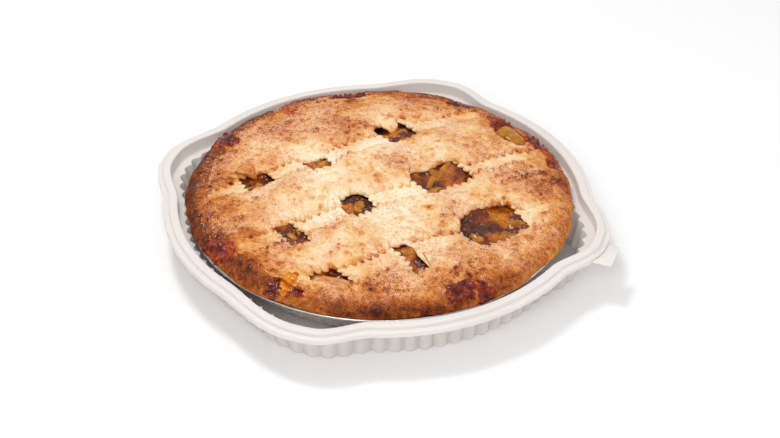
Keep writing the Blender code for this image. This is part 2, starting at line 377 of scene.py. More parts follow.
class Finish:
    """A material under construction, with short calls for its nodes and links."""

    def __init__(self, name, roughness=0.5, metallic=0.0, **constants):
        self.material = bpy.data.materials.new(name)
        self.material.use_nodes = True
        self.nodes = self.material.node_tree.nodes
        self.links = self.material.node_tree.links
        self.shader = self.nodes["Principled BSDF"]
        self.shader.inputs["Roughness"].default_value = roughness
        self.shader.inputs["Metallic"].default_value = metallic
        for socket, value in constants.items():
            self.shader.inputs[socket.replace("_", " ")].default_value = value
        self.place = self.node("ShaderNodeTexCoord").outputs["Object"]

    def node(self, kind, **settings):
        made = self.nodes.new(kind)
        for key, value in settings.items():
            setattr(made, key, value)
        return made

    def feed(self, socket, source):
        if hasattr(source, "default_value") and hasattr(source, "links"):
            self.links.new(source, socket)
        else:
            socket.default_value = source

    def group(self, tree, **values):
        made = self.node("ShaderNodeGroup", node_tree=tree)
        for key, value in values.items():
            self.feed(made.inputs[key.replace("_", " ")], value)
        return made

    def noise(self, scale, detail=3.0, roughness=0.5, distortion=0.0):
        made = self.node("ShaderNodeTexNoise")
        self.feed(made.inputs["Vector"], self.place)
        made.inputs["Scale"].default_value = scale
        made.inputs["Detail"].default_value = detail
        made.inputs["Roughness"].default_value = roughness
        made.inputs["Distortion"].default_value = distortion
        return made.outputs["Fac"]

    def attribute(self, name):
        return self.node("ShaderNodeAttribute", attribute_name=name).outputs["Fac"]

    def maths(self, operation, first, second=0.5, clamp=False):
        made = self.node("ShaderNodeMath", operation=operation, use_clamp=clamp)
        self.feed(made.inputs[0], first)
        self.feed(made.inputs[1], second)
        return made.outputs[0]

    def plus(self, first, second):
        return self.maths("ADD", first, second)

    def times(self, first, second):
        return self.maths("MULTIPLY", first, second)

    def span(self, value, low, high, to_low=0.0, to_high=1.0):
        made = self.node("ShaderNodeMapRange", interpolation_type="SMOOTHSTEP")
        self.feed(made.inputs["Value"], value)
        made.inputs["From Min"].default_value = low
        made.inputs["From Max"].default_value = high
        made.inputs["To Min"].default_value = to_low
        made.inputs["To Max"].default_value = to_high
        return made.outputs["Result"]

    def ramp(self, value, stops):
        made = self.node("ShaderNodeValToRGB")
        band = made.color_ramp
        while len(band.elements) < len(stops):
            band.elements.new(0.5)
        for element, (place, colour) in zip(band.elements, stops):
            element.position = place
            element.color = colour
        self.feed(made.inputs["Fac"], value)
        return made.outputs["Color"]

    def mix(self, share, first, second):
        made = self.node("ShaderNodeMix", data_type="RGBA")
        self.feed(made.inputs["Factor"], share)
        self.feed(made.inputs[6], first)
        self.feed(made.inputs[7], second)
        return made.outputs[2]

    def bump(self, height, strength, distance, normal=None):
        made = self.node("ShaderNodeBump")
        made.inputs["Strength"].default_value = strength
        made.inputs["Distance"].default_value = distance
        self.feed(made.inputs["Height"], height)
        if normal is not None:
            self.feed(made.inputs["Normal"], normal)
        return made.outputs["Normal"]

    def colour(self, source):
        self.feed(self.shader.inputs["Base Color"], source)

    def rough(self, source):
        self.feed(self.shader.inputs["Roughness"], source)

    def normal(self, source):
        self.feed(self.shader.inputs["Normal"], source)


def grain_group():
    """Fine crystals: a mask of specks, which is their height too, and a shade for each."""
    tree = bpy.data.node_groups.new("sugar_grain", "ShaderNodeTree")
    for name, kind in (("Place", "Vector"), ("Scale", "Float"), ("Share", "Float")):
        tree.interface.new_socket(name, in_out="INPUT", socket_type="NodeSocket" + kind)
    for name in ("Mask", "Shade"):
        tree.interface.new_socket(name, in_out="OUTPUT", socket_type="NodeSocketFloat")
    nodes, links = tree.nodes, tree.links
    start = nodes.new("NodeGroupInput")
    end = nodes.new("NodeGroupOutput")
    cells = nodes.new("ShaderNodeTexVoronoi")
    links.new(start.outputs["Place"], cells.inputs["Vector"])
    links.new(start.outputs["Scale"], cells.inputs["Scale"])
    split = nodes.new("ShaderNodeSeparateColor")
    links.new(cells.outputs["Color"], split.inputs["Color"])
    chosen = nodes.new("ShaderNodeMath")
    chosen.operation = "LESS_THAN"
    links.new(split.outputs[0], chosen.inputs[0])
    links.new(start.outputs["Share"], chosen.inputs[1])
    near = nodes.new("ShaderNodeMapRange")
    near.inputs["From Min"].default_value = 0.55
    near.inputs["From Max"].default_value = 0.25
    links.new(cells.outputs["Distance"], near.inputs["Value"])
    mask = nodes.new("ShaderNodeMath")
    mask.operation = "MULTIPLY"
    links.new(chosen.outputs[0], mask.inputs[0])
    links.new(near.outputs["Result"], mask.inputs[1])
    links.new(mask.outputs[0], end.inputs["Mask"])
    links.new(split.outputs[1], end.inputs["Shade"])
    return tree


# ---------------------------------------------------------------- the pie's shape

def to_lattice(x, y):
    """Turns plan points to (along, across) the upper strips."""
    cos, sin = math.cos(LATTICE_TURN), math.sin(LATTICE_TURN)
    return x * cos + y * sin, y * cos - x * sin


def from_lattice(along, across):
    """Turns places along and across the upper strips back to plan points."""
    cos, sin = math.cos(LATTICE_TURN), math.sin(LATTICE_TURN)
    return along * cos - across * sin, along * sin + across * cos


def strip_to_plan(run, over, axis):
    """Turns places along and over a strip to plan points; axis 0 is the upper strips' run."""
    return from_lattice(run, over) if axis == 0 else from_lattice(over, run)


def strip_sides(kind, axis):
    """Each CAD strip's low and high side, measured across its run, in order."""
    sides = []
    for number in range(1, 5):
        points = points_of(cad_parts[f"strip_{kind}_{number}"].data)
        measured = to_lattice(points[:, 0], points[:, 1])[axis]
        sides.append((measured.min(), measured.max()))
    return sides


UPPER_SIDES = strip_sides("a", 1)
LOWER_SIDES = strip_sides("b", 0)


def dome(radius):
    """Height of the pie's smooth dome at a distance from its centre."""
    return PIE_TOP - DOME_DROP * (radius / DOME_REACH) ** DOME_POWER


def unevenness(points):
    """Slow rises and hollows of the baked top, in metres."""
    return 1.0 * MM * lumps(points[:, :2], 38 * MM, 3) + 0.55 * MM * lumps(points[:, :2], 15 * MM, 5)


def slice_hollow(x, y):
    """1 in the hollow where the crust parted over the bare apple slice, 0 outside it."""
    low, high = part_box("apple_slice")
    away_x, away_y = x - (low.x + high.x) / 2, y - (low.y + high.y) / 2
    along = away_x * math.cos(SLICE_TURN) + away_y * math.sin(SLICE_TURN)
    over = away_y * math.cos(SLICE_TURN) - away_x * math.sin(SLICE_TURN)
    return 1.0 - smooth_step(np.hypot(along / HOLLOW_HALF[0], over / HOLLOW_HALF[1]), 0.75, 1.2)


def pinked_line(x, y):
    """Raised loops pressed into the top by a strip's pinked edge under it, from 0 to 1."""
    start, end = np.array(PINKED_LINE)
    length = np.hypot(*(end - start))
    direction = (end - start) / length
    along = (x - start[0]) * direction[0] + (y - start[1]) * direction[1]
    over = (y - start[1]) * direction[0] - (x - start[0]) * direction[1]
    cell = (along / TOOTH_PITCH) % 1.0 - 0.5
    ring = np.abs(np.hypot(cell * TOOTH_PITCH, over) - LOOP_RADIUS)
    there = (along > 0.0) & (along < length)
    return np.exp(-(ring / LOOP_WIDTH) ** 2) * there


def blister_swell(x, y):
    """How far the one large blister lifts the top."""
    away = np.hypot(x - BLISTER_PLACE[0], y - BLISTER_PLACE[1])
    return BLISTER_RISE * (1.0 - smooth_step(away, *BLISTER_FALL))


def upper_top(points):
    """The height of the upper strips' tops, before their fine relief."""
    radius = np.hypot(points[:, 0], points[:, 1])
    along, _ = to_lattice(points[:, 0], points[:, 1])
    sag = np.zeros(len(points))
    ordered = sorted(LOWER_SIDES)
    for near, far in zip(ordered, ordered[1:]):
        sag += bump_at(along, (near[1] + far[0]) / 2, (far[0] - near[1]) / 2 + 3 * MM)
    return dome(radius) + unevenness(points) - 1.0 * MM * sag - 0.3 * MM


def lower_top(points):
    """The height of the lower strips' tops, which come up to the upper ones near the edge."""
    radius = np.hypot(points[:, 0], points[:, 1])
    step = LOWER_STEP * (1.0 - 0.75 * smooth_step(radius, 82 * MM, 102 * MM))
    return dome(radius) + unevenness(points) - step


def lattice_inside(radius):
    """1 over the open lattice, falling to 0 where the strips melt into the edge."""
    return 1.0 - smooth_step(radius, 80 * MM, 99 * MM)


def near_opening(along, across):
    """1 over an opening in the lattice and round it, fading to 0 a few millimetres away."""
    near = np.zeros(len(along))
    for row in OPENINGS:
        away = np.hypot((along - row[0] * MM) / (row[2] * MM + 3 * MM),
                        (across - row[1] * MM) / (row[3] * MM + 3 * MM))
        near = np.maximum(near, 1.0 - smooth_step(away, 0.95, 1.35))
    return near


def tooth(place, seed):
    """The pinked edge's reach at a place along it, from -1 in a notch to 1 at a tip."""
    line = np.stack([place, np.zeros(len(place))], axis=1)
    phase = place / TOOTH_PITCH + 0.22 * lumps(line, 13 * MM, seed + 9)
    round_tip = 2.0 * np.abs(np.cos(math.pi * phase)) ** 0.65 - 1.15
    return round_tip * np.clip(0.75 + 0.9 * lumps(line, 15 * MM, seed), 0.0, 1.35)


def opening_pull(place, line, axis, gap):
    """Centre and half width of the gap between two strips, at places along it."""
    across = 1 - axis
    half = np.full(len(place), gap)
    centre = np.full(len(place), line)
    for row in OPENINGS:
        spot = (row[0] * MM, row[1] * MM)
        size = (row[2] * MM, row[3] * MM)
        if abs(spot[across] - line) < 16 * MM:
            weight = bump_at(place, spot[axis], size[axis] + 1.0 * MM, 0.7, 1.2)
            half = half + (size[across] - gap) * weight
            centre = centre + (spot[across] - line) * weight
    return centre, half


def side_of_strip(place, index, sides, axis, which, seed):
    """Where one side of a strip runs, at places along it, and the reach of its pinked teeth."""
    ordered = sorted(sides)
    rank = ordered.index(sides[index])
    neighbour = rank + which
    line = np.stack([place, np.full(len(place), seed * 1.0)], axis=1)
    wave = 2.5 * MM * lumps(line, 17 * MM, seed + 4) + 1.1 * MM * lumps(line, 7 * MM, seed + 5)
    if 0 <= neighbour < len(ordered):
        pair = sorted((ordered[rank], ordered[neighbour]))
        middle = (pair[0][1] + pair[1][0]) / 2
        centre, half = opening_pull(place, middle, axis, 5.0 * MM)
        base = centre - which * half
    else:
        base = np.full(len(place), ordered[rank][1 if which > 0 else 0] + which * 9 * MM)
    teeth = tooth(place + seed * 1.7 * MM, seed)
    reach = TOOTH_REACH * (1.0 if axis == 0 else 0.75)
    return base + wave + which * reach * teeth, teeth


def relief(flat):
    """The baked surface: its blisters and crumb, in metres, and how far they brown."""
    big = blisters(flat, 7.5 * MM, 60, 0.42)
    small = blisters(flat, 3.6 * MM, 70, 0.5)
    crumb = layered(flat, 4.5 * MM, 80, 3)
    height = 0.75 * MM * big + 0.42 * MM * small + 0.28 * MM * crumb
    brown = 0.17 * smooth_step(big, 0.25, 0.75) + 0.17 * smooth_step(small, 0.3, 0.8)
    return height, brown + 0.06 * crumb


def spots(x, y, table):
    """Soft round patches, each as its centre and reach in millimetres and a strength."""
    total = np.zeros(len(x))
    for cx, cy, reach, strength in table:
        away = np.hypot(x - cx * MM, y - cy * MM) / (reach * MM)
        total += strength * np.exp(-away ** 2)
    return total


def edge_browning(x, y):
    """Extra baking round the edge: most at the left, some at the front and the back."""
    heading = np.degrees(np.arctan2(y, x))
    left = bump_at(np.abs(heading), 180.0, 62.0)
    front = bump_at(heading, -90.0, 70.0)
    back = bump_at(heading, 90.0, 75.0)
    return 0.23 * left + 0.08 * front + 0.17 * back


def browning(points, layer):
    """How far the top is baked, from 0, pale, to 1, nearly burnt."""
    x, y = points[:, 0], points[:, 1]
    radius = np.hypot(x, y)
    baked_and_shade = 0.12 + 0.11 * smooth_step(radius, 20 * MM, 75 * MM)
    baked_and_shade += 0.16 * smooth_step(radius, 74 * MM, 106 * MM)
    baked_and_shade += spots(x, y, BROWNED) - spots(x, y, PALE)
    baked_and_shade += 0.10 * lumps(points[:, :2], 18 * MM, 31) + 0.09 * lumps(points[:, :2], 7 * MM, 32)
    baked_and_shade += edge_browning(x, y) * smooth_step(radius, 95 * MM, 106 * MM)
    return baked_and_shade + layer.baking


def strip_points(mesh, sides, index, axis, seed):
    """Lays a unit grid out as one strip: its points along and across the layer, how far they
    are from the strip's nearer side, and the reach of that side's teeth."""
    unit = points_of(mesh)
    along_unit, across_unit = unit[:, 0], unit[:, 1]
    across_unit = across_unit * (1.3 - 0.3 * across_unit ** 2)
    low, high = sides[index]
    middle = (low + high) / 2
    rough_across = middle + across_unit * (high - low) / 2
    rough_across = np.clip(rough_across, -STRIP_END * 0.97, STRIP_END * 0.97)
    along = along_unit * np.sqrt(STRIP_END ** 2 - rough_across ** 2)
    low_side, low_teeth = side_of_strip(along, index, sides, axis, -1, seed)
    high_side, high_teeth = side_of_strip(along, index, sides, axis, 1, seed + 50)
    limit = np.sqrt(np.maximum(STRIP_END ** 2 - along ** 2, 0.0))
    low_side = np.maximum(low_side, -limit)
    high_side = np.minimum(high_side, limit)
    share = (across_unit + 1.0) / 2
    across = low_side + share * (high_side - low_side)
    edge = np.minimum(across - low_side, high_side - across)
    teeth = np.where(share > 0.5, high_teeth, low_teeth)
    return along, across, edge, teeth


def strip_height(flat, bumps, edge, slump, tip, layer):
    """Height of a strip's top, how near its side is, from 0 to 1, and how far it has fallen."""
    x, y = flat.T
    radius = np.hypot(x, y)
    inside = lattice_inside(radius)
    height = upper_top(flat) if layer is UPPER else lower_top(flat)
    height += 1.0 * MM * pinked_line(x, y) - HOLLOW_DEPTH * slice_hollow(x, y)
    height += blister_swell(x, y)
    open_here = near_opening(*to_lattice(x, y))
    width = (3.4 + 1.6 * slump - 1.2 * open_here) * MM
    side = np.clip(1.0 - edge / width, 0.0, 1.0)
    fallen = 1.0 - np.sqrt(np.clip(1.0 - side ** 2, 0.0, 1.0))
    depth = layer.fall - 0.9 * MM * open_here
    height += bumps * layer.relief * (0.7 + 0.3 * inside) - depth * fallen * (0.2 + 0.8 * inside)
    height += 0.55 * MM * tip * inside * layer.tips
    height += layer.camber * (np.clip(edge / (11 * MM), 0.0, 1.0) - 0.6) * inside
    end = smooth_step(radius, STRIP_END - 6 * MM, STRIP_END - 0.5 * MM)
    return height * (1.0 - end) + (edge_height(radius) - 1.2 * MM) * end, side, fallen


def strip_baking_and_shade(flat, brown, edge, side, tip, layer):
    """How far a strip is baked: its bumps and, on the upper ones, its teeth brown most, and painted
    shade darkens the hollow round the bare slice.
    """
    x, y = flat.T
    inside = lattice_inside(np.hypot(x, y))
    baked_and_shade = browning(flat, layer) + brown * layer.mottle
    # Raised loops brown; the hollow round the bare apple slice is darkened as painted shade.
    baked_and_shade += 0.22 * pinked_line(x, y) + 0.3 * slice_hollow(x, y)
    if layer is UPPER:
        band = np.exp(-(np.maximum(edge - 1.0 * MM, 0.0) / (3.2 * MM)) ** 2)
        patchy = 0.5 + 0.5 * lumps(flat, 13 * MM, 87)
        baked_and_shade += (0.22 * tip + 0.06 * band) * inside - 0.12 * side ** 3 * (tip < 0.1) * inside
        baked_and_shade += 0.10 * (smooth_step(edge, 2 * MM, 10 * MM) - 0.6) * inside * patchy
    return baked_and_shade


def pastry_strip(name, node, layer, index, finish):
    """One baked strip with pinked edges, draped over the filling and its neighbours."""
    axis = 0 if layer is UPPER else 1
    sides = UPPER_SIDES if layer is UPPER else LOWER_SIDES
    seed = layer.seed + 37 * index
    low, high = sides[index]
    middle = (low + high) / 2
    columns = int(2.0 * STRIP_END / (0.52 * MM))
    rows = int((high - low + 6 * MM) / (0.56 * MM))
    mesh = grid_mesh(name, columns, rows)
    along, across, edge, teeth = strip_points(mesh, sides, index, axis, seed)
    flat = np.stack(strip_to_plan(along, across, axis), axis=1)
    slump = lumps(np.stack([along, np.sign(across - middle)], axis=1), 14 * MM, seed + 7)
    tip = np.clip(teeth, 0.0, 1.0) * np.exp(-(edge / (2.0 * MM)) ** 2)
    bumps, brown = relief(flat)
    height, side, fallen = strip_height(flat, bumps, edge, slump, tip, layer)
    set_points(mesh, np.column_stack([flat, height]))
    paint(mesh, "baked_and_shade", strip_baking_and_shade(flat, brown, edge, side, tip, layer))
    kept = (1.0 - 0.6 * fallen) * (1.0 - 0.5 * tip) * (1.0 - slice_hollow(*flat.T))
    paint(mesh, "sugar", sugar_cover(flat, layer) * kept)

    def tuck(point):
        spot = to_lattice(point.x, point.y)
        run, over = spot[axis], spot[1 - axis]
        over -= math.copysign(min(STRIP_TUCK[0], abs(over - middle)), over - middle)
        return Vector((*strip_to_plan(0.99 * run, over, axis), point.z - STRIP_TUCK[1]))

    close_under(mesh, tuck)
    return add_piece(name, mesh, finish, (node,))


def sugar_cover(points, layer):
    """How thickly the sugar lies, from 0 to 1."""
    flat = points[:, :2]
    cover = 0.50 + 0.60 * lumps(flat, 14 * MM, 41) + 0.30 * lumps(flat, 6 * MM, 42)
    cover += layer.sugar - 0.8 * spots(points[:, 0], points[:, 1], BARE)
    return np.clip(cover, 0.0, 1.0)


def pastry_flap(name, place, turn, length, width, lift, baked_and_shade, finish):
    """A torn tongue of dough hanging into an opening, pointed and curled at its end."""
    mesh = grid_mesh(name, 40, 24)
    unit = points_of(mesh)
    run = (unit[:, 0] + 1.0) / 2.0
    taper = np.sqrt(np.clip(1.0 - run ** 2.2, 0.0, 1.0))
    taper += 0.12 * np.sin(9.0 * run + 2.0 * unit[:, 1])
    along, over = run * length, unit[:, 1] * width / 2 * taper
    rough = np.stack([along, over], axis=1)
    height = lift * np.sin(math.pi * run) - 3.2 * MM * run ** 2 - 0.8 * MM * unit[:, 1] ** 2
    height += 0.35 * MM * lumps(rough, 3.5 * MM, 97)
    cos, sin = math.cos(math.radians(turn)), math.sin(math.radians(turn))
    points = np.stack([
        place[0] * MM + along * cos - over * sin, place[1] * MM + along * sin + over * cos,
        height + dome(math.hypot(*place) * MM) + 0.4 * MM,
    ], axis=1)
    set_points(mesh, points)
    paint(mesh, "baked_and_shade", baked_and_shade + 0.25 * run ** 3 + 0.08 * lumps(rough, 4 * MM, 98))
    paint(mesh, "sugar", np.full(len(points), 0.25))
    close_under(mesh, lambda point: point - Vector((0, 0, 1.3 * MM)))
    return add_piece(name, mesh, finish)


# ---------------------------------------------------------------- the crust's edge

def edge_height(radius):
    """Height of the rolled edge's top at a distance from the centre."""
    reach = CRUST_RADIUS - EDGE_MIDDLE[0]
    share = np.clip((radius - EDGE_MIDDLE[0]) / reach, 0.0, 0.98)
    return EDGE_MIDDLE[1] + EDGE_RISE * np.sqrt(1.0 - share ** 2)


def edge_profile():
    """Section of the pastry shell, from its floor inside, over the edge, to its base."""
    inner = 88 * MM
    points = [(0.0, CRUST_BASE + 3.2 * MM), (86 * MM, CRUST_BASE + 3.2 * MM)]
    points.append((inner + 2 * MM, 22 * MM))
    for step in range(13):
        radius = inner + (EDGE_MIDDLE[0] - inner) * step / 12
        points.append((radius, EDGE_MIDDLE[1] + EDGE_RISE - 2.2 * MM * (1.0 - step / 12)))
    turns = 44
    reach = CRUST_RADIUS - EDGE_MIDDLE[0]
    for step in range(1, turns + 1):
        turn = math.radians(90 - 152 * step / turns)
        rise = EDGE_RISE if turn > 0 else EDGE_UNDER
        place = (reach * math.cos(turn), rise * math.sin(turn))
        points.append((EDGE_MIDDLE[0] + place[0], EDGE_MIDDLE[1] + place[1]))
    points.append((TIN_RADIUS - 3.6 * MM, TIN_TOP - 2.0 * MM))
    points.extend([(92.3 * MM, CRUST_BASE), (0.0, CRUST_BASE)])
    return points


def edge_facing(points, radius):
    """Which way each point faces from the rolled edge's middle, and its turn up from level."""
    away = np.stack([radius - EDGE_MIDDLE[0], points[:, 2] - EDGE_MIDDLE[1]], axis=1)
    length = np.maximum(np.hypot(*away.T), 1e-6)
    on_edge = radius >= EDGE_MIDDLE[0]
    radial = np.where(on_edge, away[:, 0] / length, 0.0)
    upward = np.where(on_edge, away[:, 1] / length, 1.0)
    level = points[:, :2] * (radial / np.maximum(radius, 1e-6))[:, None]
    return np.column_stack([level, upward]), np.arctan2(away[:, 1], np.maximum(away[:, 0], 0.0))


def jam_notches(heading):
    """1 where jam broke through the edge, at headings in degrees, falling to 0 beside it."""
    notch = np.zeros(len(heading))
    for row in JAM_SPOTS:
        away = (heading - row[0] + 180.0) % 360.0 - 180.0
        notch = np.maximum(notch, np.exp(-(away * 1.75 / (row[2] * 0.8)) ** 2))
    return notch


def edge_baking_and_shade(points, moved, heading, radius, turn, grain):
    """How far the crust's edge is baked, most on its shoulder, with painted shade as a dark line in
    the crease where it meets the tin.
    """
    x, y, z = moved.T
    shoulder = np.exp(-((turn - math.radians(34)) / math.radians(26)) ** 2)
    lower = 1.0 - smooth_step(turn, 0.2, 0.8)
    front_side = bump_at(heading, -86.0, 28.0, 0.5, 1.5)
    golden_side = bump_at(heading, -125.0, 24.0, 0.5, 1.4)
    baked_and_shade = 0.43 + shoulder * 0.15 + edge_browning(x, y)
    baked_and_shade += lower * (0.20 * front_side - 0.12 * golden_side)
    baked_and_shade = np.where(radius < EDGE_MIDDLE[0], 0.42, baked_and_shade)
    baked_and_shade += 0.10 * lumps(points, 14 * MM, 75) + 0.07 * lumps(points, 5 * MM, 76)
    baked_and_shade += 0.6 * (spots(x, y, BROWNED) - spots(x, y, PALE)) + 0.05 * grain / (0.3 * MM)
    baked_and_shade -= 0.03 * (1.0 - smooth_step(z, 24 * MM, 28 * MM))
    # Painted shade: a dark line in the crease under the rolled edge, where the crust meets the tin.
    return baked_and_shade + 0.50 * (1.0 - smooth_step(z, 22.9 * MM, 24.2 * MM))


def crust_edge(finish):
    """The pastry shell with its thick, uneven, well browned edge."""
    mesh = spun_mesh("pie_crust_baked", edge_profile(), 736)
    points = points_of(mesh)
    radius = np.hypot(points[:, 0], points[:, 1])
    heading = np.degrees(np.arctan2(points[:, 1], points[:, 0]))
    outward, turn = edge_facing(points, radius)
    shown = smooth_step(radius, 86 * MM, 93 * MM)
    shown *= smooth_step(points[:, 2], TIN_TOP - 1 * MM, TIN_TOP + 2 * MM)
    swell = 1.2 * MM * lumps(points, 24 * MM, 71) + 0.75 * MM * lumps(points, 9 * MM, 72)
    swell -= 1.6 * MM * jam_notches(heading) * smooth_step(points[:, 2], 25 * MM, 28 * MM)
    grain = 0.22 * MM * layered(points, 3.2 * MM, 73, 3)
    grain += 0.35 * MM * blisters(points, 6 * MM, 74, 0.4)
    moved = points + outward * ((swell - 0.4 * MM + grain) * shown)[:, None]
    hollow = slice_hollow(moved[:, 0], moved[:, 1])
    moved[:, 2] -= HOLLOW_DEPTH * hollow * smooth_step(moved[:, 2], 26 * MM, 29 * MM)
    set_points(mesh, moved)
    paint(mesh, "baked_and_shade", edge_baking_and_shade(points, moved, heading, radius, turn, grain))
    dusted = 0.8 * smooth_step(moved[:, 2], 27 * MM, 32 * MM)
    paint(mesh, "sugar", sugar_cover(moved, UPPER) * dusted)
    return add_piece("pie_crust_baked", mesh, finish, ("pie_crust",))


# ---------------------------------------------------------------- filling

def filling_bed(finish):
    """The thick syrup and soft apple seen through the openings."""
    rings = 170
    spoke = [(100 * MM * ring / rings, 0.0) for ring in range(rings, -1, -1)]
    mesh = spun_mesh("apple_filling_bed", spoke, 512)
    points = points_of(mesh)
    radius = np.hypot(points[:, 0], points[:, 1])
    flat = points[:, :2]
    lumpy = 1.2 * MM * lumps(flat, 9 * MM, 81) + 1.1 * MM * blisters(flat, 6.5 * MM, 82, 0.6)
    lumpy += 0.8 * MM * blisters(flat, 3.4 * MM, 88, 0.8)
    shown = near_opening(*to_lattice(points[:, 0], points[:, 1]))
    lumpy = (0.5 + 0.5 * shown) * lumpy + 0.30 * MM * layered(flat, 3.0 * MM, 83, 2)
    points[:, 2] = dome(radius) - (6.6 - 1.9 * shown) * MM + lumpy
    set_points(mesh, points)
    deep = 0.5 + 0.5 * lumps(flat, 8 * MM, 84) - 0.3 * blisters(flat, 6.5 * MM, 82, 0.7)
    paint(mesh, "deep", deep)
    close_under(mesh, lambda point: Vector((point.x * 0.92, point.y * 0.92, 10 * MM)))
    return add_piece("apple_filling_bed", mesh, finish, ("apple_filling",))


def apple_lump(rng, place, size, turn):
    """One soft, rounded wedge of apple, as a small closed mesh."""
    work = bmesh.new()
    bmesh.ops.create_icosphere(work, subdivisions=4, radius=0.5)
    shift = rng.uniform(0.0, 50.0)
    points = np.array([vert.co for vert in work.verts])
    swell = 0.07 * lumps(points + shift, 0.35, 95) + 0.035 * lumps(points + shift, 0.14, 96)
    for vert, more in zip(work.verts, swell):
        along, over = vert.co.x, vert.co.y
        square = max(abs(along), abs(over), abs(vert.co.z)) / 0.5
        vert.co *= (1.0 + more) / (0.55 + 0.45 * square)
        vert.co.y = vert.co.y * (1.0 - 0.5 * along) + 0.5 * along ** 2
    bmesh.ops.scale(work, vec=Vector(size), verts=work.verts)
    bmesh.ops.transform(work, matrix=Matrix.Translation(place) @ turn, verts=work.verts)
    return mesh_of("lump", work)


def join_meshes(name, meshes):
    """Many small meshes as one, removing the small ones."""
    work = bmesh.new()
    for mesh in meshes:
        work.from_mesh(mesh)
        bpy.data.meshes.remove(mesh)
    return mesh_of(name, work)


def apple_lumps(finish):
    """Apple pieces lying in the syrup in each opening."""
    rng = random.Random(7)
    made = []
    for along, across, half_along, half_across in OPENINGS:
        count = max(2, int(half_along * half_across / 30))
        for _ in range(count):
            spot_along = (along + rng.uniform(-0.9, 0.9) * half_along) * MM
            spot_across = (across + rng.uniform(-0.9, 0.9) * half_across) * MM
            x, y = from_lattice(spot_along, spot_across)
            size = Vector((rng.uniform(8, 15), rng.uniform(5, 8.5), rng.uniform(4, 6))) * MM
            height = dome(math.hypot(x, y)) - rng.uniform(5.4, 7.6) * MM
            turn = Matrix.Rotation(rng.uniform(0, FULL_TURN), 4, "Z")
            turn = turn @ Matrix.Rotation(rng.uniform(-0.6, 0.6), 4, "X")
            made.append(apple_lump(rng, (x, y, height), size, turn))
    return add_piece("apple_pieces", join_meshes("apple_pieces", made), finish)


def bare_slice(finish):
    """The apple slice laid bare near the edge of the crust."""
    low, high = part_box("apple_slice")
    place = ((low.x + high.x) / 2, (low.y + high.y) / 2, high.z - SLICE_SUNK)
    turn = Matrix.Rotation(SLICE_TURN, 4, "Z")
    mesh = apple_lump(random.Random(3), place, SLICE_SIZE, turn)
    mesh.name = "apple_slice_bare"
    return add_piece("apple_slice_bare", mesh, finish, ("apple_slice",))


# ---------------------------------------------------------------- tin and tray

def tin_profile():
    """Up the inside of the foil tin, round its rolled bead and down the outside."""
    floor = TIN_BASE + FOIL
    bead = (TIN_RADIUS - TIN_BEAD, TIN_TOP - TIN_BEAD)
    wall = [(TIN_FOOT + TIN_SPREAD * step / 10, TIN_RISE * step / 10) for step in range(11)]
    points = [(0.0, floor), (40 * MM, floor)]
    points.extend((radius, floor + height) for radius, height in wall)
    for step in range(15):
        turn = math.radians(165 - 300 * step / 14)
        points.append((bead[0] + TIN_BEAD * math.cos(turn), bead[1] + TIN_BEAD * math.sin(turn)))
    points.extend((radius + FOIL_WALL, TIN_BASE + height) for radius, height in reversed(wall))
    points.extend([(40 * MM, TIN_BASE), (0.0, TIN_BASE)])
    return points


def foil_tin(finish):
    """The foil tin, crimped all round its wall."""
    mesh = spun_mesh("foil_tin_crimped", tin_profile(), 896)
    points = points_of(mesh)
    radius = np.hypot(points[:, 0], points[:, 1])
    angle = np.arctan2(points[:, 1], points[:, 0])
    wall = smooth_step(radius, 93 * MM, 97 * MM)
    wall *= 1.0 - smooth_step(points[:, 2], TIN_TOP - 3.5 * MM, TIN_TOP - 1.8 * MM)
    line = np.stack([angle * 0.1, np.zeros(len(angle))], axis=1)
    phase = CRIMPS * angle + 1.3 * lumps(line, 9 * MM, 91)
    crimp = CRIMP_DEPTH * np.cos(phase) * wall
    shake = 0.12 * MM * lumps(points, 6 * MM, 92) * smooth_step(radius, 93 * MM, 100 * MM)
    scale = 1.0 + (crimp + shake) / np.maximum(radius, 1 * MM)
    points[:, 0] *= scale
    points[:, 1] *= scale
    set_points(mesh, points)
    return add_piece("foil_tin_crimped", mesh, finish, ("foil_tin",))


def lobe(angle):
    """The rim's inner radius at an angle, as a share of the tray's mean radius."""
    share = np.full(len(angle), RIM_LOWEST)
    for middle, before, after in LOBES:
        away = (np.degrees(angle) - middle + 180.0) % 360.0 - 180.0
        reach = np.where(away < 0.0, before, after)
        share += LOBE_RISE * (1.0 - smooth_step(np.abs(away), 2.0, reach))
    return share


def tray_profile():
    """The tray's section with rounded corners, as it would be turned on its mean radii."""
    well, rim = WELL_FACTOR * TRAY_RADIUS / MM, RIM_LOWEST * TRAY_RADIUS / MM
    ledge, top = LEDGE / MM, TRAY_TOP / MM
    inside = [
        (0.0, 0.9, 0.0), (well - 3.0, 0.9, 1.4), (well, ledge, 0.5), (rim, ledge, 0.9),
    ]
    bead_and_skirt = [
        (rim, top, 1.3), (rim + 4.9, top - 0.1, 1.2), (rim + 5.3, top - 2.2, 0.3),
        (rim + 8.2, top - 2.4, 0.6), (rim + 8.3, top - 5.5, 0.3), (rim + 7.5, top - 5.5, 0.3),
        (rim + 7.3, top - 3.2, 0.4), (rim + 4.4, top - 3.0, 0.3), (rim + 4.0, top - 0.9, 0.5),
    ]
    outside = [
        (rim + 0.8, top - 0.9, 0.5), (rim + 0.8, ledge - 0.8, 0.5), (well + 0.8, ledge - 0.8, 0.4),
        (well - 2.2, 0.0, 1.0), (0.0, 0.0, 0.0),
    ]
    corners = inside + bead_and_skirt + outside
    return rounded([[value * MM for value in corner] for corner in corners])


def rounded(corners, steps=4):
    """A section through corners, each rounded by its own radius."""
    section = []
    for index, (radius, height, cut) in enumerate(corners):
        here = Vector((radius, height))
        if cut <= 0.0:
            section.append(here)
            continue
        before = (Vector(corners[index - 1][:2]) - here).normalized() * cut
        after = (Vector(corners[index + 1][:2]) - here).normalized() * cut
        for step in range(steps + 1):
            share = step / steps
            inward = before * (1.0 - share) ** 2 + after * share ** 2
            section.append(here + inward)
    return [tuple(point) for point in section]


